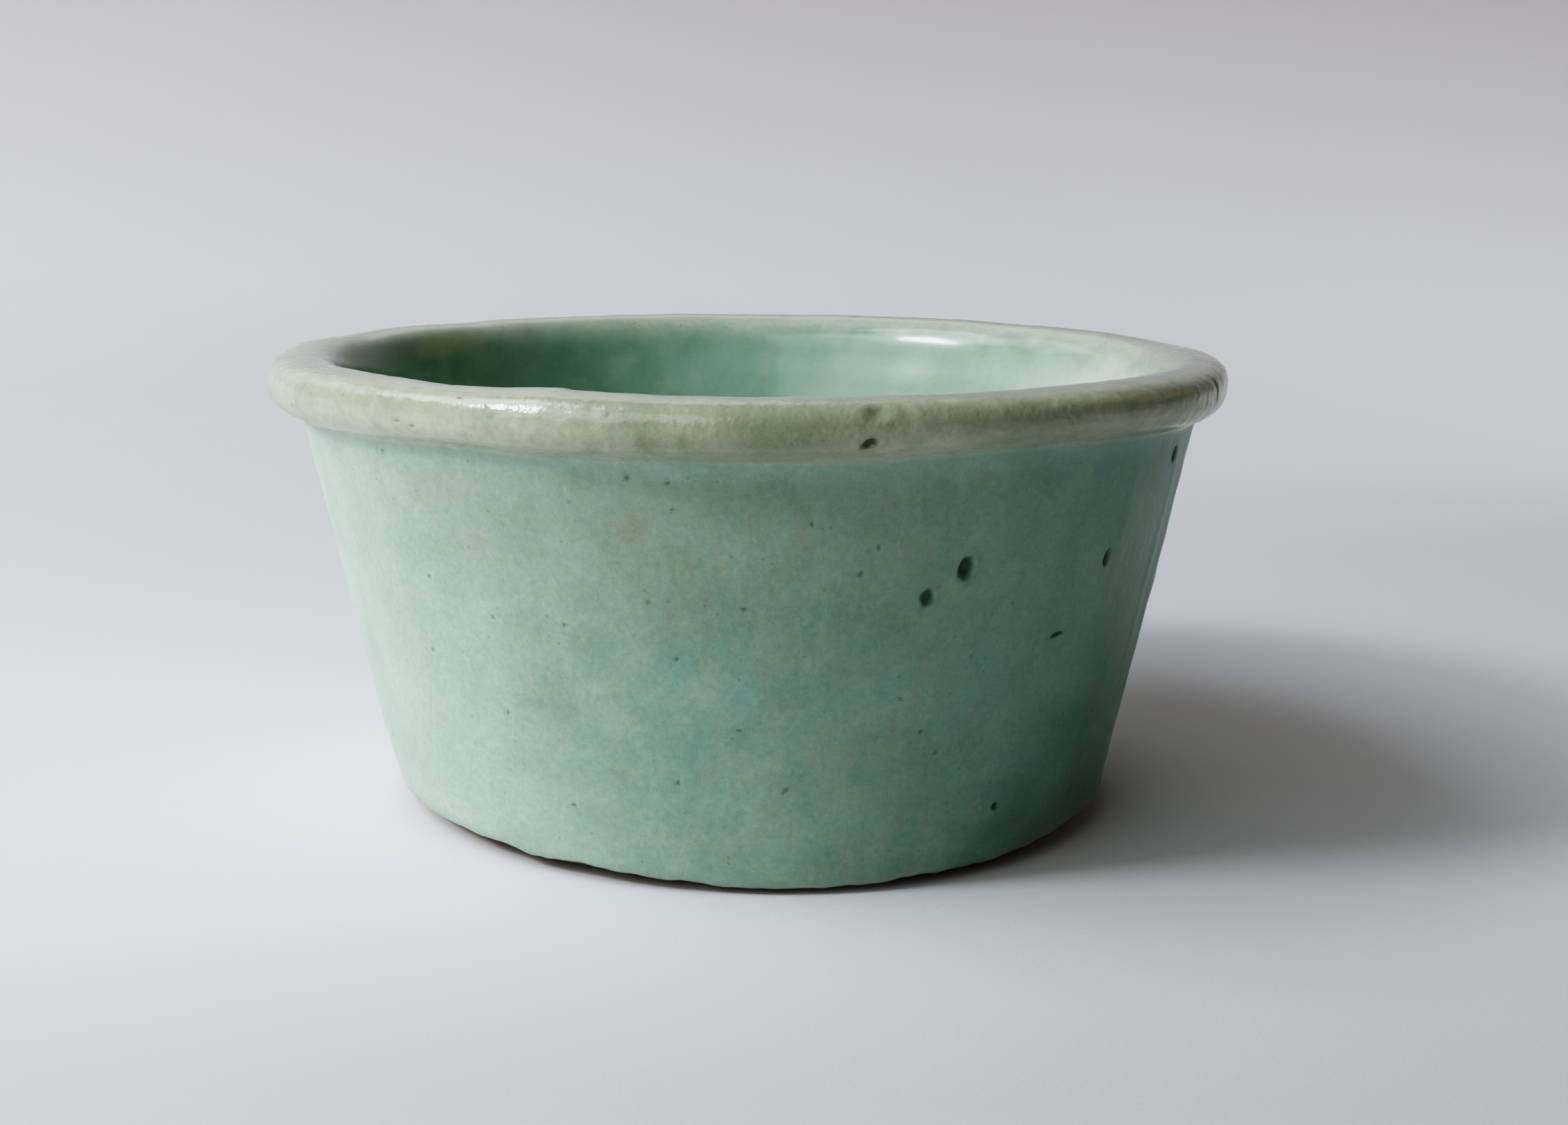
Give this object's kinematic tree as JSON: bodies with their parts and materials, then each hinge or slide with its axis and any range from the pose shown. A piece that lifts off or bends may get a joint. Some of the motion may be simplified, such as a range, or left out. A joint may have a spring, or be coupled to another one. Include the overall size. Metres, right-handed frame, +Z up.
{
  "type": "glazed ceramic cup",
  "caption": "Small squat handleless cup with a flaring wall, thick rolled rim and bare foot, under mottled pale green glaze; stands on a flat foot ring and holds drink or food.",
  "frame": {"origin": "centre of the foot, on the surface the cup stands on", "axes": "+Z up along the cup's axis of revolution; X and Y are alike, and the picture was taken from the -Y side"},
  "size_m": [0.075, 0.075, 0.0355],
  "materials": {
    "fired_clay": "bare fired clay, matt, warm brown",
    "wall_glaze": "satin gloss, mottled celadon green with grey-beige and blue clouds, dark specks and pinholes",
    "rim_glaze": "gloss, thin, cream to olive",
    "bowl_glaze": "gloss, clear aqua green"
  },
  "bodies": {
    "root": {"cup_body": "fired_clay", "outer_glaze": "wall_glaze", "rim_glaze": "rim_glaze", "inner_glaze": "bowl_glaze"}
  },
  "joints": []
}
